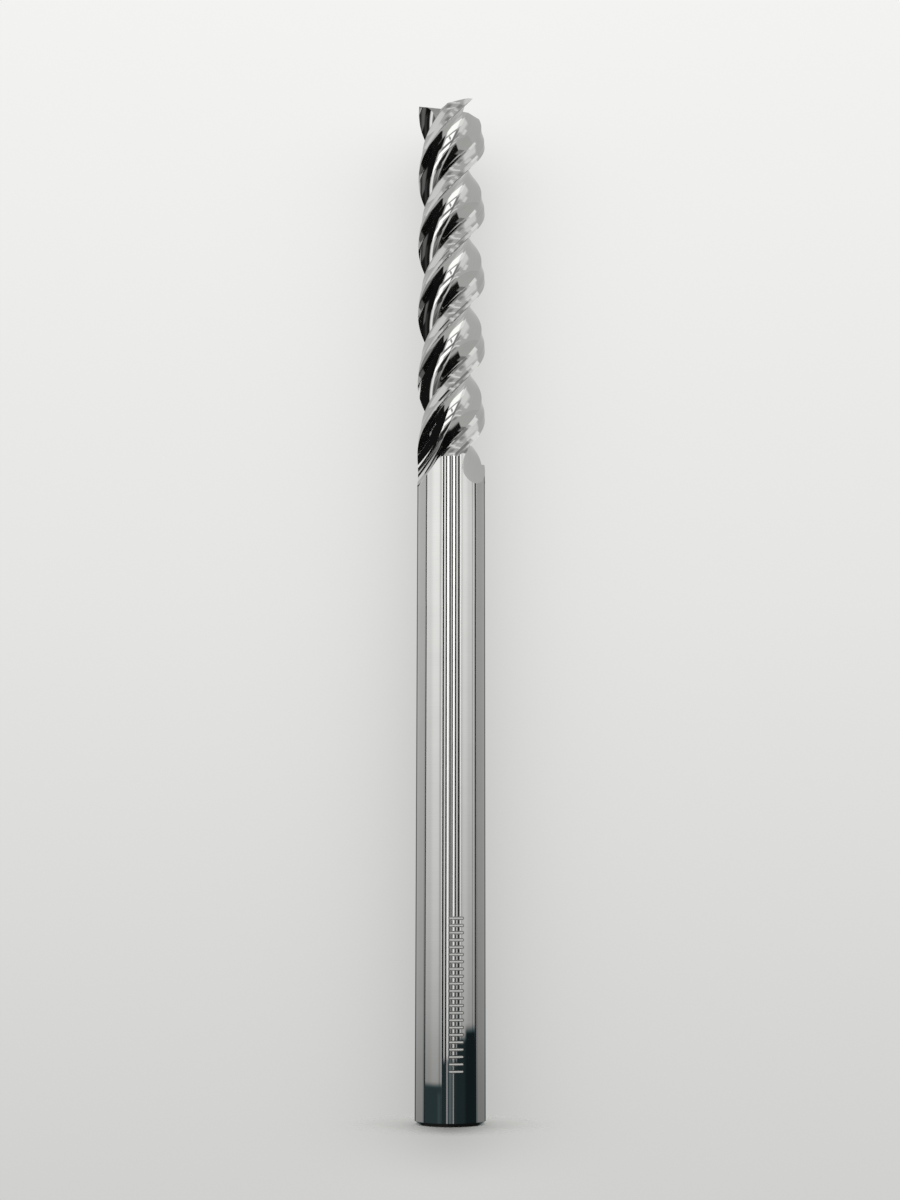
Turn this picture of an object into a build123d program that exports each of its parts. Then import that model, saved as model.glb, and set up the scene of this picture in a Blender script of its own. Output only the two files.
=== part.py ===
from build123d import *
from math import acos, atan2, cos, degrees, pi, radians, sin, tan
import os

# Solid carbide end mill, three flutes, right-hand helix, right-hand cutting.
# It stands on the end of its shank: origin at the middle of the flat shank end, +Z towards the teeth.
# Lengths are in millimetres and angles in degrees.

# Rod that the tool is ground from. The cutting diameter is ground a hair under the shank's, and a
# short cone joins the two below the flutes.
overall_length = 150.0
shank_diameter = 10.0
shank_chamfer = 0.5
cutting_undersize = 0.02
cutting_past_full_depth = 8.8
blend_length = 1.0

# Flutes, and the wheel that grinds them
flute_count = 3
flute_lead = 31.75
full_depth_length = 53.2
core_diameter = 4.7
rake_angle = 8.0
bottom_radius = 2.3
wheel_radius = 22.0
first_edge_azimuth = -50.0

# Land between two flutes: a narrow round margin at the cutting edge, then two flat reliefs.
# Both reliefs stop square, a little below the end of the full depth.
land_width = 2.95
margin_width = 0.15
primary_width = 0.9
primary_clearance = 9.5
secondary_width = 2.7
secondary_clearance = 24.0
relief_past_full_depth = 2.0

# Teeth on the end face
dish_angle = 2.0
end_primary_width = 0.8
end_primary_clearance = 7.0
end_secondary_clearance = 17.0
gash_slope = 38.0
gash_opening = 62.0
gash_root_radius = 0.3
gash_centre_depth = 0.25
long_gash_start = -0.45
short_gash_start = 0.3

# How far each cut starts above the tip, how far it reaches outside the rod, and how far the faces of
# a flute are drawn on past the rod's surface before they turn outwards
overrun = 3.0
outside = 1.5
past_surface = 0.3

# Values that follow from the sizes above
cutting_diameter = shank_diameter - cutting_undersize
shank_radius = shank_diameter / 2
cutting_radius = cutting_diameter / 2
core_radius = core_diameter / 2
cut_radius = shank_radius + outside
cut_top = overall_length + overrun
tooth_pitch = 360 / flute_count
helix_angle = atan2(pi * cutting_diameter, flute_lead)
full_depth_end = overall_length - full_depth_length
relief_end = full_depth_end - relief_past_full_depth
blend_end = full_depth_end - cutting_past_full_depth
shank_length = blend_end - blend_length
mouth_azimuth = tooth_pitch - degrees(land_width / cutting_radius)
margin_azimuth = tooth_pitch - degrees(margin_width / cutting_radius)


def polar(radius, azimuth):
    """Point at a radius and an azimuth, in a section across the tool."""
    return Vector(radius * cos(radians(azimuth)), radius * sin(radians(azimuth)))


def azimuth_of(point):
    """Azimuth of a point, from 0 to 360."""
    return degrees(atan2(point.Y, point.X)) % 360


def edge_azimuth(height):
    """Azimuth of the helical cutting edge that stands at 0 where the full depth ends."""
    return (height - full_depth_end) / flute_lead * 360


def carried_up(profile, start):
    """A section drawn with the cutting edge at azimuth 0, carried up the helix to clear of the tip."""
    section = Plane((0, 0, start), x_dir=polar(1, edge_azimuth(start)), z_dir=(0, 0, 1))
    with BuildLine() as helix:
        Helix(flute_lead, cut_top - start, cutting_radius, center=(0, 0, start))
    with BuildLine() as tool_axis:
        Line((0, 0, start), (0, 0, cut_top))
    with BuildPart() as cut:
        sweep(
            section * profile,
            path=helix.wire().rotate(Axis.Z, edge_azimuth(start)),
            binormal=tool_axis.wire(),
        )
    return cut.part


# Section of one flute, seen from the teeth, with the cutting edge at azimuth 0.
# The rake face and the gullet are one round hollow: it leaves the edge at the rake angle, and its
# radius follows from touching the core. A short bottom arc lifts it off the core, until the flat
# back of the flute leads straight to the mouth.
rake_slope = sin(radians(rake_angle))
gullet_radius = (cutting_radius**2 - core_radius**2) / (2 * (core_radius + cutting_radius * rake_slope))
gullet_centre = Vector(
    cutting_radius - gullet_radius * rake_slope,
    gullet_radius * cos(radians(rake_angle)),
)
gullet_azimuth = azimuth_of(gullet_centre)
mouth_point = polar(cutting_radius, mouth_azimuth)
edge_direction = rake_angle - 90
core_direction = gullet_azimuth - 180
past_edge = degrees(past_surface / gullet_radius)
rake = CenterArc(
    gullet_centre,
    gullet_radius,
    edge_direction + past_edge,
    core_direction - edge_direction - past_edge,
)
bottom_centre = polar(core_radius + bottom_radius, gullet_azimuth)
to_mouth = mouth_point - bottom_centre
lift_off = azimuth_of(to_mouth) + degrees(acos(bottom_radius / to_mouth.length))
bottom = CenterArc(bottom_centre, bottom_radius, gullet_azimuth + 180, lift_off - gullet_azimuth - 180)
back = Line(bottom @ 1, mouth_point)
past_mouth = mouth_point + (back % 1) * past_surface
edge_side = polar(cut_radius, azimuth_of(rake @ 0))
mouth_side = polar(cut_radius, azimuth_of(past_mouth + (back % 1) * outside))
with BuildSketch() as flute_profile:
    with BuildLine():
        add(rake)
        add(bottom)
        Line(bottom @ 1, past_mouth)
        Line(past_mouth, mouth_side)
        ThreePointArc(mouth_side, polar(cut_radius, mouth_azimuth / 2), edge_side)
        Line(edge_side, rake @ 0)
    make_face()

# The wheel stands across the helix. Above its plane the flute has its full depth. Below, the flute
# keeps the hollow of the wheel itself: the section in that plane, turned about the wheel's axle.
outward = polar(1, gullet_azimuth)
around = polar(1, gullet_azimuth + 90)
travel = around * -sin(helix_angle) + Vector(0, 0, -cos(helix_angle))
deepest_point = outward * core_radius + Vector(0, 0, full_depth_end)
wheel_plane = Plane(deepest_point, x_dir=outward, z_dir=-travel)
wheel_axle = Axis(deepest_point + outward * wheel_radius, travel.cross(outward))
swing_angle = degrees(acos(1 - (cut_radius - core_radius) / wheel_radius))
with BuildPart() as flute_cut:
    add(carried_up(flute_profile.sketch, full_depth_end - flute_lead / 3))
    split(bisect_by=wheel_plane, keep=Keep.TOP)
    wheel_section = flute_cut.faces().filter_by(wheel_plane)[0]
    revolve(wheel_section, axis=wheel_axle, revolution_arc=swing_angle)

# Section of the two reliefs behind the next edge. They run on past the heel into the open flute.
margin_point = polar(cutting_radius, margin_azimuth)
primary_direction = polar(1, margin_azimuth - 90 - primary_clearance)
primary_point = margin_point + primary_direction * primary_width
relief_start = margin_point - primary_direction * (margin_width / 2)
primary_azimuth = azimuth_of(primary_point)
secondary_point = primary_point + polar(secondary_width, primary_azimuth - 90 - secondary_clearance)
secondary_azimuth = azimuth_of(secondary_point)
with BuildSketch() as relief_profile:
    with BuildLine():
        Polyline(relief_start, primary_point, secondary_point, polar(cut_radius, secondary_azimuth))
        ThreePointArc(
            polar(cut_radius, secondary_azimuth),
            polar(cut_radius, (secondary_azimuth + margin_azimuth) / 2),
            polar(cut_radius, margin_azimuth),
        )
        Line(polar(cut_radius, margin_azimuth), relief_start)
    make_face()
relief_cut = carried_up(relief_profile.sketch, relief_end)

# End tooth, with its cutting edge over the X axis. The edge dips towards the middle of the tool.
end_edge_height = overall_length - cutting_radius * tan(radians(dish_angle))
end_edge_direction = Vector(cos(radians(dish_angle)), 0, sin(radians(dish_angle)))


def relief_above(clearance, behind, below):
    """What a relief takes off one tooth: the sector above a plane that falls away behind the edge."""
    forward = Vector(0, cos(radians(clearance)), sin(radians(clearance)))
    relief = Plane(
        origin=(0, -behind, end_edge_height - below),
        x_dir=end_edge_direction,
        z_dir=end_edge_direction.cross(forward),
    )
    with BuildPart() as cut:
        with BuildSketch(Plane.XY.offset(overall_length - cutting_radius)):
            with BuildLine():
                Line((0, 0), (cut_radius, 0))
                ThreePointArc(
                    (cut_radius, 0),
                    polar(cut_radius, -tooth_pitch / 2),
                    polar(cut_radius, -tooth_pitch),
                )
                Line(polar(cut_radius, -tooth_pitch), (0, 0))
            make_face()
        extrude(amount=cutting_radius + overrun)
        split(bisect_by=relief, keep=Keep.TOP)
    return cut.part


end_primary_relief = relief_above(end_primary_clearance, 0, 0)
end_secondary_relief = relief_above(
    end_secondary_clearance,
    end_primary_width,
    end_primary_width * tan(radians(end_primary_clearance)),
)

# Gash: the sloping notch that makes the rake face of an end edge and opens the middle into the flute.
# One gash runs past the middle, so that its tooth cuts there, and the others stop short of it.
gash_direction = Vector(cos(radians(gash_slope)), 0, -sin(radians(gash_slope)))
gash_root = Vector(0, 0, end_edge_height - gash_centre_depth)
gash_height = cutting_diameter
gash_width = gash_height * tan(radians(gash_opening))


def gash_from(start):
    """One gash, from a distance along its root to clear of the rod."""
    section = Plane(gash_root + gash_direction * start, x_dir=(0, 1, 0), z_dir=gash_direction)
    with BuildPart() as cut:
        with BuildSketch(section) as profile:
            with BuildLine():
                Polyline((0, 0), (gash_width, gash_height), (0, gash_height), close=True)
            make_face()
            fillet(profile.vertices().sort_by_distance((0, 0, 0))[0], gash_root_radius)
        extrude(amount=cutting_diameter + overrun)
    return cut.part


gashes = [gash_from(long_gash_start)] + [gash_from(short_gash_start)] * (flute_count - 1)

# The flutes are placed so that the first edge has its azimuth at the tip
flute_azimuth = first_edge_azimuth - edge_azimuth(overall_length)
with BuildPart() as end_mill:
    with BuildSketch(Plane.XZ):
        with BuildLine():
            Polyline(
                (0, 0),
                (shank_radius - shank_chamfer, 0),
                (shank_radius, shank_chamfer),
                (shank_radius, shank_length),
                (cutting_radius, blend_end),
                (cutting_radius, overall_length),
                (0, overall_length),
                close=True,
            )
        make_face()
    revolve(axis=Axis.Z)
    for tooth, gash in enumerate(gashes):
        flute_turn = (0, 0, flute_azimuth + tooth * tooth_pitch)
        tooth_turn = (0, 0, first_edge_azimuth + tooth * tooth_pitch)
        add(flute_cut.part, rotation=flute_turn, mode=Mode.SUBTRACT)
        add(relief_cut, rotation=flute_turn, mode=Mode.SUBTRACT)
        add(end_primary_relief, rotation=tooth_turn, mode=Mode.SUBTRACT)
        add(end_secondary_relief, rotation=tooth_turn, mode=Mode.SUBTRACT)
        add(gash, rotation=tooth_turn, mode=Mode.SUBTRACT)

end_mill.part.label = "end_mill"
os.makedirs("parts", exist_ok=True)
export_step(end_mill.part, "parts/end_mill.step")
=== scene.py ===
# %% [markdown]
# # A solid carbide end mill, ground from one rod
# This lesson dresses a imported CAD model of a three-flute end mill. The CAD frame holds the true size
# and place of the tool. The steps below make a finer mesh of the same solid by grinding it the way
# the real one is ground: a plain rod, and a few cutters that are taken away from it.
# Everything is in metres, with the tool standing on its shank end at the origin and +Z to the teeth.

from math import acos, atan2, cos, degrees, pi, radians, sin, tan

import bpy
import numpy as np
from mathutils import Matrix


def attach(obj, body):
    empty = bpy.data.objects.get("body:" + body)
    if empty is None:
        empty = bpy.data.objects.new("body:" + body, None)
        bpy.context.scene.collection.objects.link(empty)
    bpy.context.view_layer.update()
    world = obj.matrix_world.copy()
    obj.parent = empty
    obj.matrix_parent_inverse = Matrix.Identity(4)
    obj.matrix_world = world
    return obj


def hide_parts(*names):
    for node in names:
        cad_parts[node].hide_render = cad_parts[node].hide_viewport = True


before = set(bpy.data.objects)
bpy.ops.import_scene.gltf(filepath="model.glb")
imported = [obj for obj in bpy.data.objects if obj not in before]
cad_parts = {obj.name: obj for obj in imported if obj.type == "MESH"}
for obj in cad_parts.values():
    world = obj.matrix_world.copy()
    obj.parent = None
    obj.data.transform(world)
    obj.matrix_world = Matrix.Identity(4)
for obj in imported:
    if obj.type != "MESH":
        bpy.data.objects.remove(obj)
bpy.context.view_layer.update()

# %% [markdown]
# ## The camera
# A long thin tool photographed upright looks almost the same size at both ends, so the camera stands
# well back and looks a little upwards. A 60 mm lens on a 36 mm sensor gives the same perspective as
# the photograph: the top of the flutes is seen slightly from below, and the shank end from above.

# %% Place the camera
CAMERA_PLACE = (-0.00007, -0.2886, 0.0287)
LOOK_UP = 9.0
ROLL = -0.09
camera_data = bpy.data.cameras.new("camera")
camera_data.sensor_width = 36.0
camera_data.lens = 60.0
camera_data.clip_start = 0.01
camera_data.clip_end = 50.0
camera = bpy.data.objects.new("camera", camera_data)
bpy.context.scene.collection.objects.link(camera)
camera.location = CAMERA_PLACE
camera.rotation_euler = (radians(90.0 + LOOK_UP), radians(ROLL), 0.0)
bpy.context.scene.camera = camera
print("camera at", tuple(camera.location))

# %% [markdown]
# ## The sizes of the tool
# The same sizes as the CAD source, in millimetres and degrees. A grinder works from this short list:
# the rod, the lead of the helix, the core that is left standing, and the angles behind each edge.
# Heights are counted from the shank end, so what the teeth need is taken down from the length.

# %% Sizes
MM = 0.001
LENGTH = 150.0
SHANK_RADIUS = 5.0
SHANK_CHAMFER = 0.5
CUTTING_UNDERSIZE = 0.02
CUTTING_PAST_FULL_DEPTH = 8.8
BLEND_LENGTH = 1.0
FLUTES = 3
LEAD = 31.75
FULL_DEPTH_LENGTH = 53.2
CORE_RADIUS = 2.35
RAKE = 8.0
BOTTOM_RADIUS = 2.3
WHEEL_RADIUS = 22.0
FIRST_EDGE = -50.0
LAND_WIDTH = 2.95
MARGIN_WIDTH = 0.15
PRIMARY_WIDTH = 0.9
PRIMARY_CLEARANCE = 9.5
SECONDARY_WIDTH = 2.7
SECONDARY_CLEARANCE = 24.0
RELIEF_PAST_FULL_DEPTH = 2.0
DISH = 2.0
END_PRIMARY_WIDTH = 0.8
END_PRIMARY_CLEARANCE = 7.0
END_SECONDARY_CLEARANCE = 17.0
GASH_SLOPE = 38.0
GASH_OPENING = 62.0
GASH_ROOT_RADIUS = 0.3
GASH_CENTRE_DEPTH = 0.25
LONG_GASH_START = -0.45
SHORT_GASH_START = 0.3

# How far the cutters reach past the tip and outside the rod, how far the faces of a flute are drawn on
# past the rod's surface before they turn outwards, and how high and how long the end cutters are
OVERRUN = 3.0
OUTSIDE = 1.5
PAST_SURFACE = 0.3
END_CUT_HEIGHT = 6.0
GASH_CUT_LENGTH = 13.0

# Values that follow from the sizes above
CUTTING_RADIUS = SHANK_RADIUS - CUTTING_UNDERSIZE / 2
CUT_TOP = LENGTH + OVERRUN
CUT_RADIUS = SHANK_RADIUS + OUTSIDE
FULL_DEPTH_END = LENGTH - FULL_DEPTH_LENGTH
RELIEF_END = FULL_DEPTH_END - RELIEF_PAST_FULL_DEPTH
BLEND_END = FULL_DEPTH_END - CUTTING_PAST_FULL_DEPTH
SHANK_LENGTH = BLEND_END - BLEND_LENGTH
PITCH = 360.0 / FLUTES
HELIX = atan2(2 * pi * CUTTING_RADIUS, LEAD)
MOUTH = PITCH - degrees(LAND_WIDTH / CUTTING_RADIUS)
MARGIN = PITCH - degrees(MARGIN_WIDTH / CUTTING_RADIUS)


def edge_azimuth(height):
    """Azimuth of the helical edge that stands at 0 where the full depth ends."""
    return (height - FULL_DEPTH_END) / LEAD * 360.0


FLUTE_TURN = FIRST_EDGE - edge_azimuth(LENGTH)
print(f"helix angle {degrees(HELIX):.1f} degrees, flutes turned by {FLUTE_TURN:.1f}")

# %% [markdown]
# ## A mesh made of columns and rows
# A mirror-bright surface shows every facet. So each ground surface is built as a grid whose columns
# follow the travel of the wheel, and every corner of the mesh keeps the exact normal of that surface.
# The Boolean that does the grinding carries such corner values over to the faces it cuts. A plain
# Boolean with automatic smoothing would be quicker, but its slivers would ripple in the reflections.
# A second corner value, the grinding map, says how far a point lies across and along the wheel marks.

# %% Helpers for meshes
# The number that a face carries for its finish
FINISHES = {
    "Shank finish": 0,
    "Flute finish": 1,
    "Land finish": 2,
    "End tooth finish": 3,
    "Gash finish": 4,
}


def polar(radius, azimuth):
    """Point in a section across the tool."""
    return np.array([radius * cos(radians(azimuth)), radius * sin(radians(azimuth))])


def azimuth_of(point):
    """Azimuth of a point in a section, from 0 to 360."""
    return degrees(atan2(point[1], point[0])) % 360.0


def link_mesh(name, points, faces):
    """A new object from points in millimetres."""
    mesh = bpy.data.meshes.new(name)
    mesh.from_pydata((np.asarray(points) * MM).tolist(), [], faces)
    mesh.update()
    made = bpy.data.objects.new(name, mesh)
    bpy.context.scene.collection.objects.link(made)
    return made


def keep_ground_values(made, finish, grinding_map, flip):
    """Stores each corner's normal and grinding map, and each face's finish, for the Boolean to carry.

    A cutter's normals are flipped, because its outside becomes the inside of a hollow.
    """
    mesh = made.data
    corners = len(mesh.loops)
    normals = np.zeros(corners * 3, np.float32)
    mesh.corner_normals.foreach_get("vector", normals)
    if flip:
        normals = -normals
    stored = mesh.attributes.new("ground_normal", "FLOAT_VECTOR", "CORNER")
    stored.data.foreach_set("vector", normals)
    layer = mesh.attributes.new("grinding_map", "FLOAT2", "CORNER")
    layer.data.foreach_set("vector", np.asarray(grinding_map, np.float32).ravel())
    kinds = np.full(len(mesh.polygons), FINISHES[finish], np.int32)
    mesh.attributes.new("finish", "INT", "FACE").data.foreach_set("value", kinds)


def wall_faces(rows, columns):
    """Faces between the rows of a grid that closes around its columns, and then its two flat ends."""
    faces = []
    for low in range(0, (rows - 1) * columns, columns):
        for column in range(columns):
            after = (column + 1) % columns
            faces.append([low + column, low + after, low + columns + after, low + columns + column])
    bottom = list(range(columns))
    top = [(rows - 1) * columns + column for column in bottom]
    return [*faces, bottom[::-1], top]


def grid_solid(name, grid, across, along, creases, finish):
    """A closed cutter from a grid of points [row][column], closed around its columns, with flat ends.

    across and along give each column's and each point's place on the grinding map, and creases names
    the columns where two surfaces meet at an edge.
    """
    rows, columns = grid.shape[:2]
    marks = []
    for row in range(rows - 1):
        for column in range(columns):
            after = (column + 1) % columns
            for r, c in ((row, column), (row, after), (row + 1, after), (row + 1, column)):
                closing = c == 0 and column > 0
                marks.append((across[-1] if closing else across[c], along[r, c]))
    marks += [(0.0, 0.0)] * columns * 2
    made = link_mesh(name, grid.reshape(-1, 3), wall_faces(rows, columns))
    mesh = made.data
    mesh.shade_smooth()
    sharp = np.zeros(len(mesh.edges), bool)
    for edge in mesh.edges:
        (row_a, column_a), (row_b, column_b) = (divmod(v, columns) for v in edge.vertices)
        at_end = row_a == row_b and row_a in (0, rows - 1)
        sharp[edge.index] = at_end or (column_a == column_b and column_a in creases)
    mesh.attributes.new("sharp_edge", "BOOLEAN", "EDGE").data.foreach_set("value", sharp)
    keep_ground_values(made, finish, marks, flip=True)
    return made


def path_lengths(points):
    """Distance along a line of points."""
    steps = np.linalg.norm(np.diff(points, axis=0), axis=-1)
    return np.concatenate([[0.0], np.cumsum(steps)])


print("finishes to be ground:", list(FINISHES))

# %% [markdown]
# ## The rod
# The blank is a round carbide rod with a chamfered end. The part that cuts is ground a hair thinner
# than the shank, and a short cone joins the two. A lathe profile turned about the axis gives all of
# it. The wheel marks run around the rod, so the grinding map counts height across the marks.

# %% Turn the rod
ROD_COLUMNS = 288
ROD_CREASE = 20.0


def turn_rod():
    """The blank: its outline turned about the Z axis, with a row at every break in the outline."""
    outline = [
        (SHANK_RADIUS - SHANK_CHAMFER, 0.0),
        (SHANK_RADIUS, SHANK_CHAMFER),
        (SHANK_RADIUS, SHANK_LENGTH),
        (CUTTING_RADIUS, BLEND_END),
        (CUTTING_RADIUS, LENGTH),
    ]
    angles = np.linspace(0.0, 2 * pi, ROD_COLUMNS, endpoint=False)
    points = np.array([(r * cos(a), r * sin(a), z) for r, z in outline for a in angles])
    faces = wall_faces(len(outline), ROD_COLUMNS)
    marks = []
    for (_, low), (_, high) in zip(outline, outline[1:]):
        for column in range(ROD_COLUMNS):
            near, far = (SHANK_RADIUS * 2 * pi * c / ROD_COLUMNS for c in (column, column + 1))
            marks += [(low, near), (low, far), (high, far), (high, near)]
    marks += [tuple(points[corner][:2]) for ring in faces[-2:] for corner in ring]
    rod = link_mesh("rod", points, faces)
    rod.data.shade_smooth()
    rod.data.set_sharp_from_angle(angle=radians(ROD_CREASE))
    keep_ground_values(rod, "Shank finish", marks, flip=False)
    return rod


rod = turn_rod()
print("rod faces:", len(rod.data.polygons))

# %% [markdown]
# ## One flute
# A flute is cut by a wheel whose edge travels along the helix. Its section across the tool is a round
# hollow that leaves the cutting edge at the rake angle and touches the core. A short bottom arc lifts
# it off the core, and a flat back climbs to the mouth of the flute.

# %% Section of the flute
rake_slope = sin(radians(RAKE))
gullet_reach = 2 * (CORE_RADIUS + CUTTING_RADIUS * rake_slope)
gullet_radius = (CUTTING_RADIUS**2 - CORE_RADIUS**2) / gullet_reach
gullet_centre = np.array(
    [CUTTING_RADIUS - gullet_radius * rake_slope, gullet_radius * cos(radians(RAKE))],
)
gullet_azimuth = azimuth_of(gullet_centre)


def flute_section(rake_steps=26, bottom_steps=5, back_steps=12, air_steps=5):
    """Points of one flute's section with the cutting edge at azimuth 0, and the corners among them."""
    start = RAKE - 90 + degrees(PAST_SURFACE / gullet_radius)
    turns = np.linspace(start, gullet_azimuth - 180, rake_steps)
    points = [gullet_centre + polar(gullet_radius, turn) for turn in turns]
    centre = polar(CORE_RADIUS + BOTTOM_RADIUS, gullet_azimuth)
    mouth = polar(CUTTING_RADIUS, MOUTH)
    to_mouth = mouth - centre
    lift_off = azimuth_of(to_mouth) + degrees(acos(BOTTOM_RADIUS / np.hypot(*to_mouth)))
    for turn in np.linspace(gullet_azimuth + 180, lift_off, bottom_steps)[1:]:
        points.append(centre + polar(BOTTOM_RADIUS, turn))
    foot = points[-1]
    way_out = (mouth - foot) / np.hypot(*(mouth - foot))
    past_mouth = mouth + way_out * PAST_SURFACE
    points += [foot + (past_mouth - foot) * share for share in np.linspace(0, 1, back_steps)[1:]]
    far = azimuth_of(past_mouth + way_out * OUTSIDE)
    near = azimuth_of(points[0]) - 360 * (azimuth_of(points[0]) > 180)
    air = [polar(CUT_RADIUS, azimuth) for azimuth in np.linspace(far, near, air_steps)]
    corners = [0, len(points) - 1, len(points), len(points) + air_steps - 1]
    return np.array(points + air), corners


section, section_corners = flute_section()
print("flute section has", len(section), "points, gullet radius", round(gullet_radius, 3))

# %% [markdown]
# ## The path of the wheel
# The wheel carries the section up the helix. Near the shank it simply lifts out, so below the wheel's
# own plane every point of the section turns about the wheel's axle instead. That gives the rounded
# hollow in which each flute runs out. Ending the sweep on a flat would look cut off, and no wheel can
# do it.

# %% Carry the section along the wheel's path
HELIX_ROWS = 140
WHEEL_ROWS = 34
HALVINGS = 60


def along_helix(point, heights):
    """Places of one point of a section at several heights up the helix."""
    radius = np.hypot(*point)
    turn = np.arctan2(point[1], point[0]) + (heights - FULL_DEPTH_END) / LEAD * 2 * pi
    return np.stack([radius * np.cos(turn), radius * np.sin(turn), heights], -1)


def crossing_height(point, deepest, travel):
    """Height where the helix of one point crosses the wheel's plane, found by halving."""
    low, high = FULL_DEPTH_END - LEAD / 3, FULL_DEPTH_END + LEAD / 3
    for _ in range(HALVINGS):
        middle = (low + high) / 2
        place = along_helix(point, np.array([middle]))[0]
        above = (place - deepest) @ travel < 0
        low, high = (low, middle) if above else (middle, high)
    return low


def turned_about(axle, arm, angle):
    """A vector turned about an axle of unit length."""
    kept = axle * (axle @ arm) * (1 - cos(angle))
    return arm * cos(angle) + np.cross(axle, arm) * sin(angle) + kept


def cut_flute():
    """The solid that the wheel sweeps: up the helix above its plane, and around its axle below."""
    out = np.array([*polar(1, gullet_azimuth), 0.0])
    around = np.array([*polar(1, gullet_azimuth + 90), 0.0])
    travel = -around * sin(HELIX) - np.array([0, 0, cos(HELIX)])
    deepest = out * CORE_RADIUS + np.array([0, 0, FULL_DEPTH_END])
    axle_point = deepest + out * WHEEL_RADIUS
    axle = np.cross(travel, out)
    swing = acos(1 - (CUT_RADIUS - CORE_RADIUS) / WHEEL_RADIUS)
    shares = np.linspace(1, 0, HELIX_ROWS)
    columns = []
    for point in section:
        low = crossing_height(point, deepest, travel)
        helical = along_helix(point, low + (CUT_TOP - low) * shares)
        arm = helical[-1] - axle_point
        angles = np.linspace(0, swing, WHEEL_ROWS)[1:]
        turned = [axle_point + turned_about(axle, arm, angle) for angle in angles]
        columns.append(np.concatenate([helical, turned]))
    grid = np.stack(columns, 1)
    marks = np.stack([path_lengths(column) for column in columns], 1)
    across = path_lengths(section)
    return grid_solid("flute_cutter", grid, across, marks, section_corners, "Flute finish")


flute_cutter = cut_flute()
print("flute cutter faces:", len(flute_cutter.data.polygons))

# %% [markdown]
# ## The land behind each edge
# Behind the cutting edge a narrow margin keeps the full diameter, then two flats fall away: a shallow
# primary relief and a steeper secondary relief down to the heel. They follow the same helix, and stop
# square just below the full depth of the flute, which leaves a fine step across the rod.


# %% Carry the reliefs along the helix
def cut_relief(primary_steps=4, secondary_steps=9, air_steps=4, rows=140):
    """The solid that takes off both reliefs, from the margin to past the heel."""
    margin = polar(CUTTING_RADIUS, MARGIN)
    direction = polar(1, MARGIN - 90 - PRIMARY_CLEARANCE)
    primary = margin + direction * PRIMARY_WIDTH
    start = margin - direction * MARGIN_WIDTH / 2
    secondary = primary + polar(SECONDARY_WIDTH, azimuth_of(primary) - 90 - SECONDARY_CLEARANCE)
    secondary_shares = np.linspace(0, 1, secondary_steps)[1:]
    line = [start + (primary - start) * share for share in np.linspace(0, 1, primary_steps)]
    line += [primary + (secondary - primary) * share for share in secondary_shares]
    air_azimuths = np.linspace(azimuth_of(secondary), MARGIN, air_steps)
    air = [polar(CUT_RADIUS, azimuth) for azimuth in air_azimuths]
    points = np.array(line + air)
    corners = [0, primary_steps - 1, len(line) - 1, len(line), len(points) - 1]
    heights = np.linspace(RELIEF_END, CUT_TOP, rows)
    grid = np.stack([along_helix(point, heights) for point in points], 1)
    marks = np.stack([path_lengths(grid[:, column]) for column in range(len(points))], 1)
    return grid_solid("relief_cutter", grid, path_lengths(points), marks, corners, "Land finish")


relief_cutter = cut_relief()
print("relief cutter faces:", len(relief_cutter.data.polygons))

# %% [markdown]
# ## The end teeth
# Each end edge dips towards the middle of the tool by a small dish angle, so that only its corner
# touches a flat floor. Two flats fall away behind it. A gash, a sloping notch with a small round
# root, makes the rake face of the end edge and opens the middle into the flute. One gash runs past
# the middle, so that one tooth cuts right to the centre.

# %% Reliefs and gashes of the end face
end_edge_height = LENGTH - CUTTING_RADIUS * tan(radians(DISH))


def prism(name, ring, depth, finish, smooth_sides=()):
    """A closed cutter: a ring of points, and the same ring moved by a vector."""
    ring = np.asarray(ring)
    count = len(ring)
    points = np.concatenate([ring, ring + np.asarray(depth)])
    faces = [list(range(count))[::-1], list(range(count, 2 * count))]
    faces += [[i, (i + 1) % count, count + (i + 1) % count, count + i] for i in range(count)]
    made = link_mesh(name, points, faces)
    mesh = made.data
    mesh.shade_smooth()
    smooth = {frozenset((i, count + i)) for i in smooth_sides}
    sharp = [frozenset(edge.vertices) not in smooth for edge in mesh.edges]
    mesh.attributes.new("sharp_edge", "BOOLEAN", "EDGE").data.foreach_set("value", sharp)
    places = points[[loop.vertex_index for loop in mesh.loops]]
    keep_ground_values(made, finish, places[:, :2], flip=True)
    return made


def cut_end_relief(name, clearance, behind, below, sector_steps=9):
    """The sector above one relief plane of the tooth whose end edge lies over the X axis."""
    edge = np.array([cos(radians(DISH)), 0.0, sin(radians(DISH))])
    forward = np.array([0.0, cos(radians(clearance)), sin(radians(clearance))])
    normal = np.cross(edge, forward)
    origin = np.array([0.0, -behind, end_edge_height - below])
    sector = [polar(CUT_RADIUS, azimuth) for azimuth in np.linspace(-PITCH, 0, sector_steps)]
    ring = []
    for point in [np.zeros(2), *sector]:
        climb = normal[:2] @ (point - origin[:2]) / normal[2]
        ring.append([*point, origin[2] - climb])
    return prism(name, ring, (0, 0, END_CUT_HEIGHT), "End tooth finish")


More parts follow.
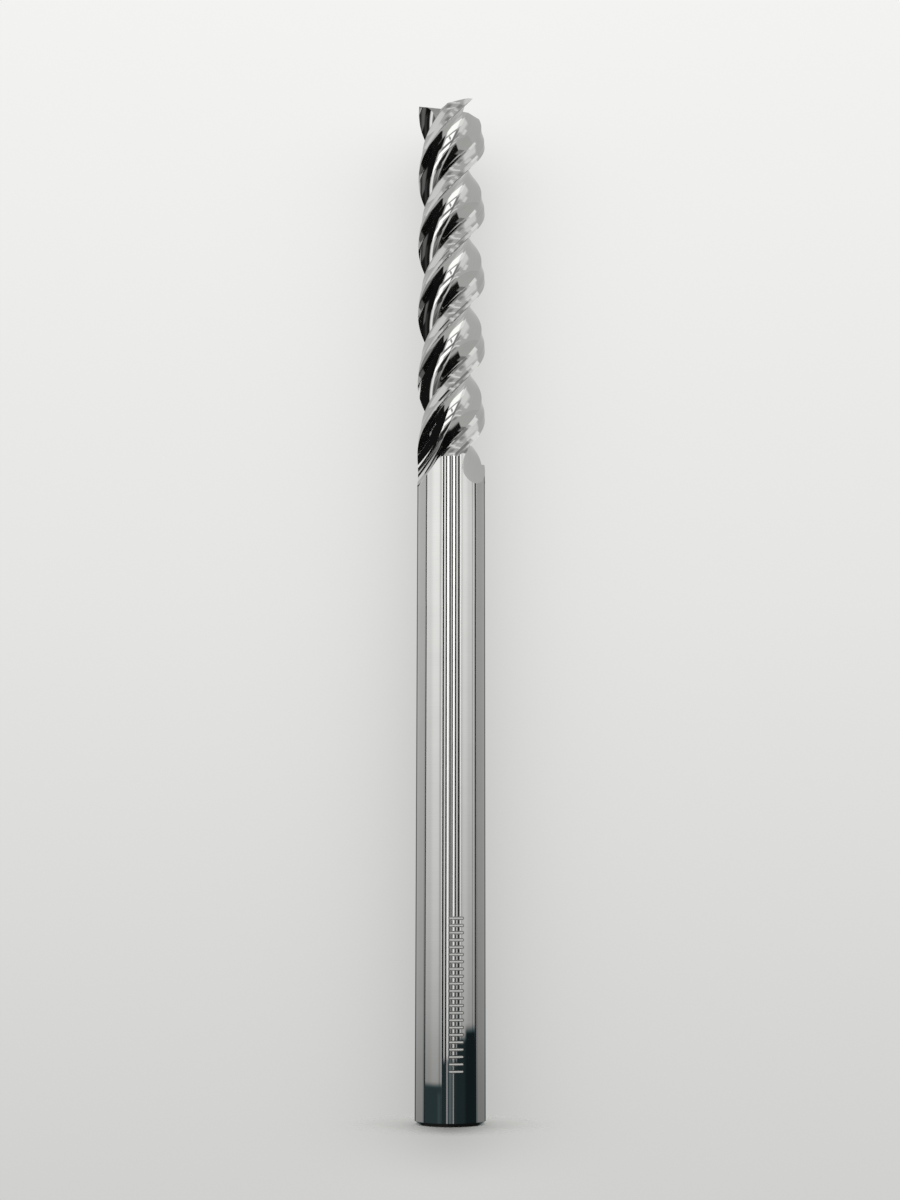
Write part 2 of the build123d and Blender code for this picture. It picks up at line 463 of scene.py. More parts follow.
def cut_gash(name, start, root_steps=8):
    """A notch with a round root, from a place along its sloping root line to clear of the rod."""
    slope = radians(GASH_SLOPE)
    down = np.array([cos(slope), 0.0, -sin(slope)])
    up = np.array([sin(slope), 0.0, cos(slope)])
    side = np.array([0.0, 1.0, 0.0])
    root = np.array([0.0, 0.0, end_edge_height - GASH_CENTRE_DEPTH]) + down * start
    height = 2 * CUTTING_RADIUS
    opening = radians(GASH_OPENING)
    reach = GASH_ROOT_RADIUS / tan(opening / 2)
    outline = []
    for share in np.linspace(0, 1, root_steps):
        turn = pi + (pi - opening) * share
        outline.append((GASH_ROOT_RADIUS * (1 + cos(turn)), reach + GASH_ROOT_RADIUS * sin(turn)))
    outline += [(height * tan(opening), height), (0.0, height)]
    ring = [root + side * x + up * y for x, y in outline]
    return prism(name, ring, down * GASH_CUT_LENGTH, "Gash finish", smooth_sides=range(root_steps))


end_primary_cutter = cut_end_relief("end_primary_cutter", END_PRIMARY_CLEARANCE, 0.0, 0.0)
end_secondary_cutter = cut_end_relief(
    "end_secondary_cutter",
    END_SECONDARY_CLEARANCE,
    END_PRIMARY_WIDTH,
    END_PRIMARY_WIDTH * tan(radians(END_PRIMARY_CLEARANCE)),
)
long_gash_cutter = cut_gash("long_gash_cutter", LONG_GASH_START)
short_gash_cutter = cut_gash("short_gash_cutter", SHORT_GASH_START)
cutters = {
    "Flute cutter": flute_cutter,
    "Relief cutter": relief_cutter,
    "End primary cutter": end_primary_cutter,
    "End secondary cutter": end_secondary_cutter,
    "Long gash cutter": long_gash_cutter,
    "Short gash cutter": short_gash_cutter,
}
print("cutters:", {title: len(made.data.polygons) for title, made in cutters.items()})

# %% [markdown]
# ## Grinding all the teeth
# A grinding machine indexes the rod and repeats the same cuts for each tooth. The node tree does the
# same in a repeat zone: it turns every cutter to the tooth at hand, turns the stored normals with it,
# and takes the cutters away from the rod. A plain array of cutters would not do here, because the
# first tooth has the long gash and because the stored normals must turn with their tooth.


# %% The node tree that grinds
def add_node(tree, kind, links=None, **settings):
    """The outputs of a new node with its settings, constant values and links from other sockets."""
    node = tree.nodes.new(kind)
    for name, value in settings.items():
        setattr(node, name, value)
    for socket, value in (links or {}).items():
        if isinstance(value, bpy.types.NodeSocket):
            tree.links.new(value, node.inputs[socket])
        else:
            node.inputs[socket].default_value = value
    return node.outputs


def maths(operation, *values):
    """One arithmetic step, in the tree of the sockets among its values."""
    tree = next(value.id_data for value in values if isinstance(value, bpy.types.NodeSocket))
    return add_node(tree, "ShaderNodeMath", dict(enumerate(values)), operation=operation)[0]


def turned_cutter(geometry, angle):
    """A cutter and its stored normals, turned about the Z axis."""
    tree = geometry.id_data
    turn = add_node(tree, "ShaderNodeCombineXYZ", {"Z": angle})[0]
    moved = add_node(tree, "GeometryNodeTransform", {"Geometry": geometry, "Rotation": turn})[0]
    name = {"Name": "ground_normal"}
    normal = add_node(tree, "GeometryNodeInputNamedAttribute", name, data_type="FLOAT_VECTOR")[0]
    arm = {"Vector": normal, "Angle": angle}
    spun = add_node(tree, "ShaderNodeVectorRotate", arm, rotation_type="Z_AXIS")[0]
    kept = {**name, "Geometry": moved, "Value": spun}
    corner = {"data_type": "FLOAT_VECTOR", "domain": "CORNER"}
    return add_node(tree, "GeometryNodeStoreNamedAttribute", kept, **corner)[0]


def compared(operation, first, second):
    """Two whole numbers compared."""
    kind = {"data_type": "INT", "operation": operation}
    return add_node(first.id_data, "FunctionNodeCompare", {2: first, 3: second}, **kind)[0]


def dressed(geometry, given):
    """The ground tool with the material of each face's finish."""
    tree = geometry.id_data
    finish = add_node(tree, "GeometryNodeInputNamedAttribute", {"Name": "finish"}, data_type="INT")[0]
    for title, number in FINISHES.items():
        chosen = compared("EQUAL", finish, number)
        paint = {"Geometry": geometry, "Selection": chosen, "Material": given[title]}
        geometry = add_node(tree, "GeometryNodeSetMaterial", paint)[0]
    return geometry


def grinding_tree():
    """Rod in, ground tool out. Each cutter is turned to each tooth and taken away."""
    tree = bpy.data.node_groups.new("Ground teeth", "GeometryNodeTree")
    inputs = {"Geometry": "Geometry", "Teeth": "Int", "Flute turn": "Float", "Tooth turn": "Float"}
    inputs.update({title: "Object" for title in cutters})
    inputs.update({title: "Material" for title in FINISHES})
    for title, kind in inputs.items():
        tree.interface.new_socket(title, in_out="INPUT", socket_type="NodeSocket" + kind)
    tree.interface.new_socket("Geometry", in_out="OUTPUT", socket_type="NodeSocketGeometry")
    given = add_node(tree, "NodeGroupInput")
    start = tree.nodes.new("GeometryNodeRepeatInput")
    end = tree.nodes.new("GeometryNodeRepeatOutput")
    start.pair_with_output(end)
    tree.links.new(given["Teeth"], start.inputs["Iterations"])
    tree.links.new(given["Geometry"], start.inputs["Geometry"])
    tooth = start.outputs["Iteration"]
    step = maths("MULTIPLY", tooth, maths("DIVIDE", 2 * pi, given["Teeth"]))
    flute_angle = maths("ADD", step, given["Flute turn"])
    tooth_angle = maths("ADD", step, given["Tooth turn"])
    shapes = {}
    for title in cutters:
        shapes[title] = add_node(tree, "GeometryNodeObjectInfo", {"Object": given[title]})["Geometry"]
    gashes = {
        "Switch": compared("GREATER_THAN", tooth, 0),
        "False": shapes["Long gash cutter"],
        "True": shapes["Short gash cutter"],
    }
    gash = add_node(tree, "GeometryNodeSwitch", gashes, input_type="GEOMETRY")[0]
    ground = tree.nodes.new("GeometryNodeMeshBoolean")
    ground.operation = "DIFFERENCE"
    ground.solver = "MANIFOLD"
    tree.links.new(start.outputs["Geometry"], ground.inputs[0])
    for geometry, angle in (
        (shapes["Flute cutter"], flute_angle),
        (shapes["Relief cutter"], flute_angle),
        (shapes["End primary cutter"], tooth_angle),
        (shapes["End secondary cutter"], tooth_angle),
        (gash, tooth_angle),
    ):
        tree.links.new(turned_cutter(geometry, angle), ground.inputs[1])
    tree.links.new(ground.outputs[0], end.inputs["Geometry"])
    whole = add_node(tree, "GeometryNodeRealizeInstances", {0: end.outputs["Geometry"]})[0]
    add_node(tree, "NodeGroupOutput", {0: dressed(whole, given)})
    return tree


ground_teeth = grinding_tree()
print("nodes in the tree:", len(ground_teeth.nodes))

# %% [markdown]
# ## Grinding it for real
# The tree runs once and its result is baked into one closed mesh, so that the tool no longer needs the
# rod and the cutters. The stored normals come back last: the Boolean cuts thin slivers along the
# edges, and with the exact normal at every corner they mirror the room as smoothly as the wheel left
# them.

# %% Grind, bake and give back the exact normals
finish_materials = {title: bpy.data.materials.new(title) for title in FINISHES}


def grind(rod, tree):
    """Runs the tree on the rod and bakes the result into one closed mesh with its exact normals."""
    rod.data.materials.append(finish_materials["Shank finish"])
    modifier = rod.modifiers.new("ground teeth", "NODES")
    modifier.node_group = tree
    turns = {"Teeth": FLUTES, "Flute turn": radians(FLUTE_TURN), "Tooth turn": radians(FIRST_EDGE)}
    for title, value in {**turns, **cutters, **finish_materials}.items():
        modifier[tree.interface.items_tree[title].identifier] = value
    depsgraph = bpy.context.evaluated_depsgraph_get()
    mesh = bpy.data.meshes.new_from_object(rod.evaluated_get(depsgraph))
    mesh.name = "end_mill_body"
    rod.modifiers.remove(modifier)
    normals = np.zeros(len(mesh.loops) * 3, np.float32)
    mesh.attributes["ground_normal"].data.foreach_get("vector", normals)
    normals = normals.reshape(-1, 3)
    lengths = np.linalg.norm(normals, axis=1)
    print("stored normals are", lengths.min(), "to", lengths.max(), "long")
    mesh.shade_smooth()
    mesh.normals_split_custom_set((normals / lengths[:, None]).tolist())
    mesh.attributes.remove(mesh.attributes["ground_normal"])
    return mesh


tool_mesh = grind(rod, ground_teeth)
tool = bpy.data.objects.new("end_mill_body", tool_mesh)
bpy.context.scene.collection.objects.link(tool)
for made in [rod, *cutters.values()]:
    bpy.data.objects.remove(made, do_unlink=True)
print("faces", len(tool_mesh.polygons), "materials", [m.name for m in tool_mesh.materials])

# %% [markdown]
# ## What the tool mirrors
# Polished carbide has almost no colour of its own: what the eye sees is the room around it. The room
# here is a soft studio, painted on the world by direction: pale walls, a few brighter windows of
# light, and a dark zone below the horizon that draws the black leaves into the flutes. Lamps would
# leave small hard glints instead. Every window is one node group with soft sides.


# %% Helpers for painting with light
def map_range(value, low, high, to_low=0.0, to_high=1.0, kind="LINEAR"):
    """A value carried from one range to another and held at its ends."""
    ends = {0: value, 1: low, 2: high, 3: to_low, 4: to_high}
    return add_node(value.id_data, "ShaderNodeMapRange", ends, interpolation_type=kind)[0]


def mix(share, first, second):
    """Two values, mixed."""
    return add_node(share.id_data, "ShaderNodeMix", {0: share, 2: first, 3: second})[0]


def mix_colours(share, first, second):
    """Two colours, mixed."""
    colours = {0: share, 6: first, 7: second}
    return add_node(share.id_data, "ShaderNodeMix", colours, data_type="RGBA")[2]


def ramp(share, stops, tint=(1.0, 1.0, 1.0)):
    """Brightness through (place, level) stops, with a tint over all of them."""
    colour = add_node(share.id_data, "ShaderNodeValToRGB", {0: share})[0]
    elements = colour.node.color_ramp.elements
    while len(elements) < len(stops):
        elements.new(0.5)
    for element, (place, level) in zip(elements, stops):
        element.position = place
        element.color = (*(level * part for part in tint), 1.0)
    return colour


def noise(place, scale, detail, roughness=0.5):
    """Cloudy noise."""
    look = {"Vector": place, "Scale": scale, "Detail": detail, "Roughness": roughness}
    return add_node(place.id_data, "ShaderNodeTexNoise", look)[0]


def split_axes(vector):
    """X, Y and Z of a vector."""
    return add_node(vector.id_data, "ShaderNodeSeparateXYZ", {0: vector})


def seen_azimuth(axes):
    """Azimuth in degrees: 0 to the side where the camera stands, and 90 to its right."""
    return maths("DEGREES", maths("ARCTAN2", axes["X"], maths("MULTIPLY", axes["Y"], -1.0)))


def window_group():
    """Paints one soft-edged window of light over what lies below it. Angles are in degrees."""
    tree = bpy.data.node_groups.new("Studio window", "ShaderNodeTree")
    place = ("Azimuth centre", "Half width", "Elevation centre", "Half height")
    rest = ("Azimuth softness", "Elevation softness", "Brightness", "Lean")
    for title in ("Below", "Azimuth", "Elevation", *place, *rest):
        tree.interface.new_socket(title, in_out="INPUT", socket_type="NodeSocketFloat")
    tree.interface.new_socket("Brightness", in_out="OUTPUT", socket_type="NodeSocketFloat")
    given = add_node(tree, "NodeGroupInput")

    def cover(angle, centre, half, softness):
        """Share of the window's light between two of its sides."""
        away = maths("SUBTRACT", angle, given[centre])
        wrapped = maths("ABSOLUTE", maths("WRAP", away, 180.0, -180.0))
        outer = maths("ADD", given[half], given[softness])
        inner = maths("SUBTRACT", given[half], given[softness])
        return map_range(wrapped, outer, inner, kind="SMOOTHSTEP")

    climb = maths("SUBTRACT", given["Elevation"], given["Elevation centre"])
    shift = maths("MULTIPLY", climb, given["Lean"])
    leant = maths("SUBTRACT", given["Azimuth"], shift)
    across = cover(leant, "Azimuth centre", "Half width", "Azimuth softness")
    upright = cover(given["Elevation"], "Elevation centre", "Half height", "Elevation softness")
    share = maths("MULTIPLY", across, upright)
    step = maths("SUBTRACT", given["Brightness"], given["Below"])
    add_node(tree, "NodeGroupOutput", {0: maths("MULTIPLY_ADD", share, step, given["Below"])})
    return tree


window = window_group()


def hang_windows(wall, rows, azimuth, elevation):
    """Paints a table of windows over a wall, one after another."""
    for row in rows:
        values = dict(enumerate((wall, azimuth, elevation, *row)))
        wall = add_node(azimuth.id_data, "ShaderNodeGroup", values, node_tree=window)[0]
    return wall


print("one window takes", len(window.nodes), "nodes")

# %% [markdown]
# ## The windows
# The helix mirrors each direction of the room at its own place in a flute, so every streak of the tool
# belongs to a window. They hang one over another: a later one covers what lies below it, and so a dark
# one can cut a bright one. A painted picture of a room would not let a streak be moved on its own.

# %% Windows of the studio
# Azimuth centre, half width, elevation centre, half height, two softnesses, brightness and, where it
# has one, the lean of each window, painted in this order. The lean is how far its sides step to the
# right for each degree they climb. Azimuth 0 lies behind the camera, and 90 to its right.
WALL_BRIGHTNESS = 0.60
WINDOWS = (
    (-88, 41.5, 34, 13, 4, 2, 0.40, -1.0),
    (-88, 40, 34, 12, 4, 3, 0.92, -1.0),
    (-42, 2.5, 48, 11, 1.5, 3, 1.10, -0.4),
    (61, 27, 35, 13, 6, 5, 0.96, -0.8),
    (-60, 10, 49, 4, 3, 2, 0.42),
    (-16, 3, 45, 16, 1.5, 3, 1.05, -0.37),
    (-27, 7, 35, 8, 3, 3, 0.32, -0.3),
    (32, 14, 54, 4.5, 3, 2, 0.95),
    (-7, 4, 24, 8, 1.5, 2, 1.00),
    (6, 1.5, 37, 9, 1, 3, 1.00),
    (11, 5, 28, 4, 2, 2, 0.90),
    (21, 8, 31, 6, 3, 3, 0.36),
    (32, 26, 17, 6, 3, 2.5, 0.30),
    (1, 4, 18, 3.5, 1.5, 1.5, 0.28),
    (-88, 28, -2, 15, 3, 3, 0.27),
    (-100, 14, 0, 10, 3, 3, 0.14),
    (-75, 33, -22, 7.5, 2, 1, 0.30),
    (-75, 32, -22, 6.5, 2, 2, 1.15),
    (-20, 15, -16, 13, 1.5, 1.5, 0.20, 1.2),
    (-20, 14, -16, 12, 1.5, 2, 1.8, 1.2),
    (2, 10.5, -5, 19, 1, 1, 0.15, 0.1),
    (2, 9.3, -5, 18, 1, 2, 1.8, 0.1),
    (-37, 19, 7, 15, 2, 2, 0.02, 0.7),
    (-53, 7, 2, 14, 1.5, 2, 0.05, -0.85),
    (18.5, 4, 0, 18, 1.2, 3, 0.22),
    (43, 17.5, -4, 15, 1, 1, 0.22),
    (43, 16.5, -4, 14, 1, 2, 1.7),
    (44, 4.5, -3, 7, 1.5, 2, 0.45, -1.8),
    (64, 3.5, -5, 14, 1, 2, 0.45),
    (88.5, 21, -2, 18, 1, 1, 0.35),
    (88.5, 20, -2, 17, 1.5, 2.5, 1.6),
    (86, 16, 19, 9, 2, 3, 1.12),
    (118, 8, 0, 13, 3, 2, 0.8),
    (-105, 70, -60, 28.5, 3, 1.2, 0.015),
    (-5, 40, -60, 31.5, 3, 1.2, 0.008),
    (120, 92, -60, 38, 3, 1.2, 0.008),
    (-18, 32, -57, 5, 4, 3, 0.17),
    (-20, 45, -69, 3, 4, 1.5, 0.80),
    (-62, 26, -48, 4, 4, 3, 0.05),
)
# The same for light that has bounced inside a flute before: its depths mirror a darker room.
DEEP_BRIGHTNESS = 0.90
DEEP_WINDOWS = (
    (-41, 51, 4, 18, 3, 3, 0.008, 0.8),
    (12, 27, -2, 11, 3, 3, 0.015, -0.8),
    (25, 14, 18, 12, 3, 3, 0.4),
    (-88, 12, -3, 7, 3, 3, 0.25),
    (-60, 50, -20, 5, 3, 3, 0.4),
)
print("studio windows:", len(WINDOWS), "and", len(DEEP_WINDOWS))

# %% [markdown]
# ## The studio and the backdrop
# Reflected rays see the windows. The floor gets even light from all sides, so that only the tool
# itself shades it. The camera sees neither: behind the tool it has a plain pale sweep that darkens
# downwards, and a soft shade close behind the tool, as on a product table.

# %% Studio around the tool
# From this ray depth on, light has bounced inside a flute before.
DEEP_FROM = 2.5
FLOOR_LIGHT = 1.0
PAPER_WHITE = (1.0, 1.0, 0.985, 1.0)
# The sweep's brightness, between a low and a high elevation in degrees.
SWEEP_LOW, SWEEP_HIGH = -8.0, 26.0
SWEEP = ((0.0, 0.63), (0.17, 0.68), (0.33, 0.73), (0.5, 0.783), (0.67, 0.823), (0.83, 0.863), (1.0, 0.9))
SWEEP_TINT = (1.0, 1.003, 0.985)
# The sweep is a little darker close behind the tool: how much, over how many degrees it fades, and how
# far the fade is rounded off in its middle. Then where it reaches, and where the floor line ends it,
# given like windows.
SHADE_DEPTH = 0.68
SHADE_REACH = 1.22
SHADE_ROUND = 1.2
SHADE_PLACE = (0, 90, 6.6, 15.0, 1, 1.4)
BELOW_SHADE = (0, 180, -30, 23.5, 1, 1.0, 0.0)


def sweep_behind(axes, elevation):
    """The plain backdrop that the camera sees."""
    colour = ramp(map_range(elevation, SWEEP_LOW, SWEEP_HIGH), SWEEP, SWEEP_TINT)
    aside = maths("DEGREES", maths("ARCTAN2", axes["X"], axes["Y"]))
    squared = maths("MULTIPLY_ADD", aside, aside, SHADE_ROUND**2)
    reach = maths("MULTIPLY", maths("SQRT", squared), -1.0 / SHADE_REACH)
    shade = maths("MULTIPLY", maths("EXPONENT", reach), SHADE_DEPTH)
    shaded = hang_windows(0.0, ((*SHADE_PLACE, shade), BELOW_SHADE), aside, elevation)
    light = {"Color": colour, "Strength": maths("SUBTRACT", 1.0, shaded)}
    return add_node(elevation.id_data, "ShaderNodeBackground", light)[0]


def paint_studio():
    """World: the windows for reflected rays, even light for the floor, the sweep for the camera."""
    world = bpy.data.worlds.new("studio")
    bpy.context.scene.world = world
    world.use_nodes = True
    tree = world.node_tree
    tree.nodes.clear()
    axes = split_axes(add_node(tree, "ShaderNodeTexCoord")["Generated"])
    azimuth = seen_azimuth(axes)
    elevation = maths("DEGREES", maths("ARCSINE", axes["Z"]))
    ray = add_node(tree, "ShaderNodeLightPath")
    once = hang_windows(WALL_BRIGHTNESS, WINDOWS, azimuth, elevation)
    again = hang_windows(DEEP_BRIGHTNESS, DEEP_WINDOWS, azimuth, elevation)
    mirrored = mix(maths("GREATER_THAN", ray["Ray Depth"], DEEP_FROM), once, again)
    level = mix(ray["Is Diffuse Ray"], mirrored, FLOOR_LIGHT)
    lit = add_node(tree, "ShaderNodeBackground", {"Color": PAPER_WHITE, "Strength": level})
    plain = sweep_behind(axes, elevation)
    both = add_node(tree, "ShaderNodeMixShader", {0: ray["Is Camera Ray"], 1: lit[0], 2: plain})
    add_node(tree, "ShaderNodeOutputWorld", {"Surface": both[0]})
    world.cycles.sampling_method = "NONE"


paint_studio()
bpy.context.scene.view_settings.view_transform = "Standard"
print("sweep from", SWEEP[0][1], "at the floor to", SWEEP[-1][1], "at the top")

# %% [markdown]
# ## Strip lights around the shank
# A round shank mirrors the whole room as upright lines, so a tool photographer stands narrow strips
# of paper and black card close around it. Here they hang on a tube of light that only reflections
# see. It darkens downwards, and near its foot it is as dark as the table. Painted on the world
# instead, the same strips would also run through the flutes.

# %% Strips of the tube
STRIP_WALL = 0.45
# Azimuth centre, half width, softness and brightness of each strip.
STRIPS = (
    (-137, 7, 3, 0.12),
    (-104, 24, 4, 0.65),
    (-53, 22, 1, 1.06),
    (-42, 12, 8, 1.27),
    (-76.6, 2.0, 0.5, 0.02),
    (-28.2, 2.8, 0.6, 0.85),
    (-24.3, 1.3, 0.4, 1.55),
    (0, 23.0, 0.4, 0.01),
    (-16.6, 2.1, 0.4, 1.25),
    (-7.9, 2.6, 0.4, 1.95),
    (-3.4, 1.3, 0.5, 0.45),
    (1.3, 1.3, 0.5, 0.90),
    (8.1, 2.5, 0.4, 1.95),
    (16.8, 2.3, 0.4, 1.05),
    (27.0, 1.5, 0.4, 1.75),
    (51.3, 22.8, 0.6, 0.60),
    (47, 15.4, 1, 0.95),
    (39, 8, 7, 1.13),
    (68, 2.0, 1, 0.95),
    (104, 26, 4, 0.50),
    (76, 2.4, 0.5, 0.01),
    (80.2, 1.8, 1, 0.62),
    (137, 7, 3, 0.13),
    (168, 9, 5, 0.85),
    (-170, 6, 5, 0.75),
)
# Windows near the foot, with the height in millimetres in place of the elevation
FOOT = (
    (-49, 26.5, -5, 10.0, 2, 0.5, 0.05),
    (-30, 4, -5, 8.8, 3, 0.6, 0.08),
    (0, 23, -5, 13.4, 1, 0.7, 0.035),
    (46, 28.5, -5, 16.6, 2, 0.8, 0.030),
    (58, 17, -5, 17.9, 5, 0.9, 0.016),
    (-8.5, 1.8, -5, 13.4, 0.6, 0.8, 0.40),
    (0, 4.0, -5, 13.4, 2, 0.8, 0.16),
    (8.0, 1.6, -5, 13.4, 0.6, 0.8, 0.38),
)
# The top corner that only the lowest flute looks at.
DARK_TOP = (-109, 60, 96.3, 1.8, 4, 0.3, 0.01, 28)
# Near the foot, dark strips take the cool tint of the table: the tint, between which brightnesses it
# comes in, and up to which height.
FOOT_TINT = (0.62, 1.0, 1.08, 1.0)
TINT_FROM, TINT_FULL = 0.25, 0.06
TINT_HEIGHT = 16.0
# How the strips darken downwards, from the foot to the top. Away from the front they do so by the
# power below.
TUBE_FADE = ((0.0, 0.28), (0.083, 0.38), (0.155, 0.50), (0.30, 0.65), (0.52, 0.79), (0.87, 1.0))
TUBE_FRONT = (0, 84, 3)
SIDE_FADE = 0.5
print("strips:", len(STRIPS), "and", len(FOOT), "at the foot")

# %% [markdown]
# ## The tube and its blades
# The flutes must not mirror the strips, so the top of the tube is cut into fine blades that slope
# outwards and down, like a louvre. The shank looks at their painted undersides, and the flutes above
# look steeply down on their black tops. A plain tube would have to end lower, and the shank would
# lose its strips there.

# %% Tube of strips
TUBE_RADIUS = 14.0
TUBE_LOW, TUBE_HIGH = -8.0, 97.5
# Blades: lowest and highest place, how steeply they slope down, how deep and how far apart they are.
BLADES = ((75.0, 91.0, 28.5, 1.0, 0.07), (91.0, 97.5, 3.0, 0.5, 0.104))
BLADE_THICKNESS = 0.003
BLADE_TOP_LIGHT = 0.010


def empty_tree(material):
    """The material's node tree, cleared."""
    material.use_nodes = True
    material.node_tree.nodes.clear()
    return material.node_tree


def give_off_light(material, colour, strength):
    """Ends a material in plain emission, which reflections see but which is not sampled as a lamp."""
    tree = material.node_tree
    glow = add_node(tree, "ShaderNodeEmission", {"Color": colour, "Strength": strength})
    add_node(tree, "ShaderNodeOutputMaterial", {"Surface": glow[0]})
    material.cycles.emission_sampling = "NONE"
    return material


def full_height(centre, half_width, softness, brightness):
    """A window as tall as the tube."""
    return (centre, half_width, 45, 90, softness, 2, brightness)


def strip_light():
    """Light over the tube's own azimuth and height."""
    material = bpy.data.materials.new("Strip light")
    tree = empty_tree(material)
    axes = split_axes(add_node(tree, "ShaderNodeTexCoord")["Object"])
    azimuth = seen_azimuth(axes)
    height = maths("DIVIDE", axes["Z"], MM)
    strips = hang_windows(STRIP_WALL, [full_height(*row) for row in STRIPS], azimuth, height)
    fade = ramp(maths("DIVIDE", height, TUBE_HIGH), TUBE_FADE)
    side = maths("POWER", fade, SIDE_FADE)
    kept = hang_windows(side, [full_height(*TUBE_FRONT, fade)], azimuth, height)
    faded = maths("MULTIPLY", strips, kept)
    level = hang_windows(faded, (*FOOT, DARK_TOP), azimuth, height)
    dim = map_range(level, TINT_FROM, TINT_FULL)
    low = maths("MULTIPLY", dim, maths("LESS_THAN", height, TINT_HEIGHT))
    return give_off_light(material, mix_colours(low, PAPER_WHITE, FOOT_TINT), level)


def blade_top():
    """The black upper side of the blades."""
    material = bpy.data.materials.new("Blade top")
    empty_tree(material)
    return give_off_light(material, PAPER_WHITE, BLADE_TOP_LIGHT)


def tube_sheets():
    """Upper and lower rim of each sheet of the tube, and its side: 0 is painted and 1 black."""
    low, _, slope, depth, _ = BLADES[0]
    plain_top = low + depth / 2 * tan(radians(slope))
    sheets = [((TUBE_RADIUS, TUBE_LOW), (TUBE_RADIUS, plain_top), 0)]
    for low, high, slope, depth, pitch in BLADES:
        drop = depth * tan(radians(slope))
        inner, outer = TUBE_RADIUS - depth / 2, TUBE_RADIUS + depth / 2
        for height in np.arange(low + drop, high, pitch):
            sheets.append(((inner, height), (outer, height - drop), 0))
            sheets.append(((inner, height), (outer, height - drop + BLADE_THICKNESS), 1))
    return sheets


def stand_tube(columns=96):
    """An open tube around the shank with a bladed top, seen by reflected rays alone."""
    angles = np.linspace(0, 2 * pi, columns, endpoint=False)
    points, faces, sides = [], [], []
    for first, last, side in tube_sheets():
        start = len(points)
        for radius, height in (first, last):
            points += [(radius * cos(a), radius * sin(a), height) for a in angles]
        for column in range(columns):
            after = (column + 1) % columns
            corners = (column, columns + column, columns + after, after)
            faces.append([start + corner for corner in corners])
            sides.append(side)
    tube = link_mesh("strip_tube", points, faces)
    tube.data.materials.append(strip_light())
    tube.data.materials.append(blade_top())
    tube.data.polygons.foreach_set("material_index", sides)
    for kind in ("camera", "diffuse", "transmission", "shadow", "volume_scatter"):
        setattr(tube, "visible_" + kind, False)
    return tube


strip_tube = stand_tube()
print("tube faces:", len(strip_tube.data.polygons))

# %% [markdown]
# ## The floor
# The tool stands on pale matt paper. Only the part near its foot is needed: there the paper takes the
# soft shadow where the tool hides the light from it, and a painted shade darkens its colour beside and
# in front of the foot as well. Farther out the paper melts into the backdrop, as a paper sweep does. It
# is left out of the reflections, which already hold a dark table.

# %% Paper near the foot
PAPER = (0.655, 0.657, 0.645)
PAPER_RADIUS = 19.0
PAPER_FADE = 6.5
PAPER_RIM = 1.0
PAPER_DROP = 0.01
FIBRE_SCALE = 2500.0
FIBRE_TONE = (0.985, 1.015)
# The shade painted into the paper's colour to both sides of the tool: how dark and how wide. Then the
# narrower painted shade in front of it, which comes in over the width of the foot.
PAINTED_SIDE_SHADE = 0.13
SIDE_WIDTH = 6.6
PAINTED_CONTACT_SHADE = 0.35
CONTACT_WIDTH = 5.0


def painted_paper_shade(place):
    """Painted shade: how much darker the paper's colour is made near the foot."""
    axes = split_axes(place)
    reach = maths("DIVIDE", maths("ABSOLUTE", axes["X"]), -SIDE_WIDTH * MM)
    wide = maths("MULTIPLY", maths("EXPONENT", reach), PAINTED_SIDE_SHADE)
    aside = maths("POWER", maths("DIVIDE", axes["X"], CONTACT_WIDTH * MM), 2.0)
    narrow = maths("EXPONENT", maths("MULTIPLY", aside, -1.0))
    front = map_range(axes["Y"], -SHANK_RADIUS * MM, 0.0, PAINTED_CONTACT_SHADE, 0.0)
    return maths("ADD", wide, maths("MULTIPLY", narrow, front))


def lay_paper(columns=96):
    """A disc of paper that turns clear towards its rim."""
    material = bpy.data.materials.new("Paper")
    tree = empty_tree(material)
    place = add_node(tree, "ShaderNodeTexCoord")["Object"]
    grain = map_range(noise(place, FIBRE_SCALE, 3.0), 0.0, 1.0, *FIBRE_TONE)
    # The paper's grain, darkened by the painted shade near the foot
    tone = maths("MULTIPLY", grain, maths("SUBTRACT", 1.0, painted_paper_shade(place)))
    colour = add_node(tree, "ShaderNodeVectorMath", {0: PAPER, 3: tone}, operation="SCALE")[0]
    paper = add_node(tree, "ShaderNodeBsdfDiffuse", {"Color": colour})[0]
    clear = add_node(tree, "ShaderNodeBsdfTransparent")[0]
    away = add_node(tree, "ShaderNodeVectorMath", {0: place}, operation="LENGTH")["Value"]
    rim = (PAPER_RADIUS - PAPER_RIM) * MM
    share = map_range(away, PAPER_FADE * MM, rim, kind="SMOOTHERSTEP")
    surface = add_node(tree, "ShaderNodeMixShader", {0: share, 1: paper, 2: clear})
    add_node(tree, "ShaderNodeOutputMaterial", {"Surface": surface[0]})
    angles = np.linspace(0, 2 * pi, columns, endpoint=False)
    ring = [(PAPER_RADIUS * cos(a), PAPER_RADIUS * sin(a), -PAPER_DROP) for a in angles]
    floor = link_mesh("paper_floor", ring, [list(range(columns))])
    floor.data.materials.append(material)
    floor.visible_glossy = False
    return floor


paper_floor = lay_paper()
print("paper radius", PAPER_RADIUS)

# %% [markdown]
# ## Tick marks on the shank
# Marks on a ground shank are etched: the face turns dull and grey. Around it a thin darker rim is
# painted, as shade at the etched edge. A ladder of short ticks is laid out on the grinding map of the
# shank, which counts millimetres up the shank and around it. Each tick is a line with round ends, so
# the distance to that line gives both the face and the rim, and no ring of the mesh is needed for it.

# %% Tick marks
# Lowest and highest tick and the step between them, the two ends around the shank, and half the width.
TICK_FIRST, TICK_LAST, TICK_PITCH = 7.5, 28.5, 1.0
TICK_LEFT, TICK_RIGHT = 23.4, 25.4
TICK_HALF = 0.11
TICK_RIM = 0.11
TICK_BLUR = 0.03


